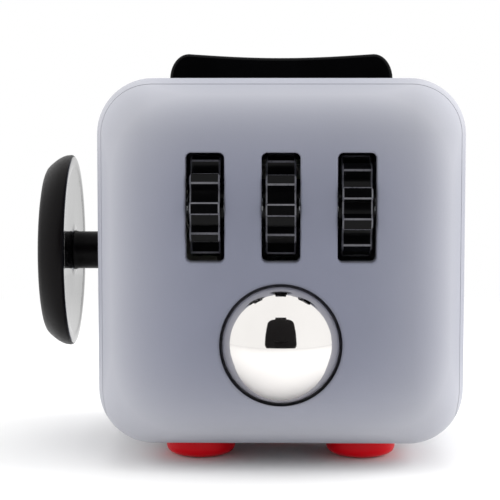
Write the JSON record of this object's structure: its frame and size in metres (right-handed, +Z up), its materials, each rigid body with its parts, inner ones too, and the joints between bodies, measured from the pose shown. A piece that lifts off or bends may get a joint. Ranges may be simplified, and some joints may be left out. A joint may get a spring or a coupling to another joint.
{
  "type": "fidget cube",
  "caption": "Small rounded desk toy cube with push buttons, toothed wheels, a rolling ball, a joystick, a spinning dial, a rocker and a thumb dish.",
  "frame": {"origin": "middle of the flat crown of the centre push button, which the cube rests on with its four neighbours", "axes": "+Z up through the cube to the rocker face, -Y the face with the toothed wheels and the ball, -X the joystick face, +X the thumb dish face, +Y the dial face"},
  "size_m": [0.0391, 0.0379, 0.0372],
  "materials": {
    "shell_grey": "fine matte moulded ABS",
    "black_abs": "satin moulded ABS",
    "red_abs": "semi-gloss moulded ABS",
    "inner_abs": "natural moulded ABS",
    "silicone": "matte silicone",
    "chromed_steel": "polished",
    "spring_steel": "drawn wire and stamped strip"
  },
  "bodies": {
    "housing": {"main_shell": "shell_grey", "corner_cover": "shell_grey", "button_plate": "inner_abs", "plate_screw_1": "spring_steel", "plate_screw_2": "spring_steel", "plate_screw_3": "spring_steel", "wheel_axle": "spring_steel", "wheel_detent_leaf": "spring_steel", "leaf_screw_1": "spring_steel", "leaf_screw_2": "spring_steel", "ball_housing": "inner_abs", "ball_screw_1": "spring_steel", "ball_screw_2": "spring_steel", "joystick_housing": "inner_abs", "joystick_screw_1": "spring_steel", "joystick_screw_2": "spring_steel", "centring_cup": "inner_abs", "centring_spring": "spring_steel", "dial_wave_washer": "spring_steel", "rocker_pin": "spring_steel", "rocker_track": "inner_abs", "track_screw_1": "spring_steel", "track_screw_2": "spring_steel", "button_spring_1": "spring_steel", "button_spring_2": "spring_steel", "button_spring_3": "spring_steel", "button_spring_4": "spring_steel", "button_spring_5": "spring_steel", "snap_dome_1": "spring_steel", "snap_dome_2": "spring_steel", "snap_dome_3": "spring_steel", "silent_pad_4": "silicone", "silent_pad_5": "silicone"},
    "button_1": {"button_cap_1": "red_abs"},
    "button_2": {"button_cap_2": "red_abs"},
    "button_3": {"button_cap_3": "red_abs"},
    "button_4": {"button_cap_4": "red_abs"},
    "button_5": {"button_cap_5": "red_abs"},
    "wheel_1": {"toothed_wheel_1": "black_abs"},
    "wheel_2": {"toothed_wheel_2": "black_abs"},
    "wheel_3": {"toothed_wheel_3": "black_abs"},
    "ball_press": {"ball_plunger": "inner_abs", "ball_spring": "spring_steel"},
    "ball_swivel": {"ball_cup": "inner_abs"},
    "ball": {"steel_ball": "chromed_steel"},
    "gimbal": {"gimbal_ring": "inner_abs"},
    "joystick": {"joystick_cap": "black_abs", "joystick_stem": "black_abs", "gimbal_pin": "spring_steel"},
    "dial": {"dial": "black_abs", "dial_washer": "spring_steel", "dial_screw": "spring_steel"},
    "rocker": {"rocker": "black_abs", "rocker_plunger": "inner_abs", "rocker_spring": "spring_steel"}
  },
  "joints": [
    {"name": "button_1_press", "type": "slide", "parent": "housing", "child": "button_1", "axis": [0, 0, 1], "range_m": [0, 0.00105], "stiffness_N_per_m": 250, "springref_m": -0.004, "deforming": ["button_spring_1"]},
    {"name": "button_2_press", "type": "slide", "parent": "housing", "child": "button_2", "axis": [0, 0, 1], "range_m": [0, 0.00105], "stiffness_N_per_m": 250, "springref_m": -0.004, "deforming": ["button_spring_2"]},
    {"name": "button_3_press", "type": "slide", "parent": "housing", "child": "button_3", "axis": [0, 0, 1], "range_m": [0, 0.00105], "stiffness_N_per_m": 250, "springref_m": -0.004, "deforming": ["button_spring_3"]},
    {"name": "button_4_press", "type": "slide", "parent": "housing", "child": "button_4", "axis": [0, 0, 1], "range_m": [0, 0.00105], "stiffness_N_per_m": 250, "springref_m": -0.004, "deforming": ["button_spring_4"]},
    {"name": "button_5_press", "type": "slide", "parent": "housing", "child": "button_5", "axis": [0, 0, 1], "range_m": [0, 0.00105], "stiffness_N_per_m": 250, "springref_m": -0.004, "deforming": ["button_spring_5"]},
    {"name": "wheel_1_spin", "type": "hinge", "parent": "housing", "child": "wheel_1", "pos_m": [-0.00665, -0.0131, 0.0236], "axis": [1, 0, 0], "continuous": true},
    {"name": "wheel_2_spin", "type": "hinge", "parent": "housing", "child": "wheel_2", "pos_m": [0, -0.0131, 0.0236], "axis": [1, 0, 0], "continuous": true},
    {"name": "wheel_3_spin", "type": "hinge", "parent": "housing", "child": "wheel_3", "pos_m": [0.00665, -0.0131, 0.0236], "axis": [1, 0, 0], "continuous": true},
    {"name": "ball_press", "type": "slide", "parent": "housing", "child": "ball_press", "axis": [0, 1, 0], "range_m": [0, 0.0008], "stiffness_N_per_m": 1000, "springref_m": -0.001},
    {"name": "ball_swivel", "type": "hinge", "parent": "ball_press", "child": "ball_swivel", "pos_m": [0, -0.0134, 0.0115], "axis": [0, 1, 0], "continuous": true},
    {"name": "ball_roll", "type": "hinge", "parent": "ball_swivel", "child": "ball", "pos_m": [0, -0.0134, 0.0115], "axis": [1, 0, 0], "continuous": true},
    {"name": "joystick_up_down", "type": "hinge", "parent": "housing", "child": "gimbal", "pos_m": [-0.0119, 0, 0.0184], "axis": [0, 1, 0], "range_deg": [-12, 12], "stiffness_Nm_per_rad": 0.02},
    {"name": "joystick_side_to_side", "type": "hinge", "parent": "gimbal", "child": "joystick", "pos_m": [-0.0119, 0, 0.0184], "axis": [0, 0, 1], "range_deg": [-12, 12], "stiffness_Nm_per_rad": 0.02},
    {"name": "dial_spin", "type": "hinge", "parent": "housing", "child": "dial", "pos_m": [0, 0.0165, 0.0184], "axis": [0, 1, 0], "continuous": true},
    {"name": "rocker_flip", "type": "hinge", "parent": "housing", "child": "rocker", "pos_m": [0, 0, 0.0323], "axis": [0, 1, 0], "range_deg": [-6.5, 6.5]}
  ]
}
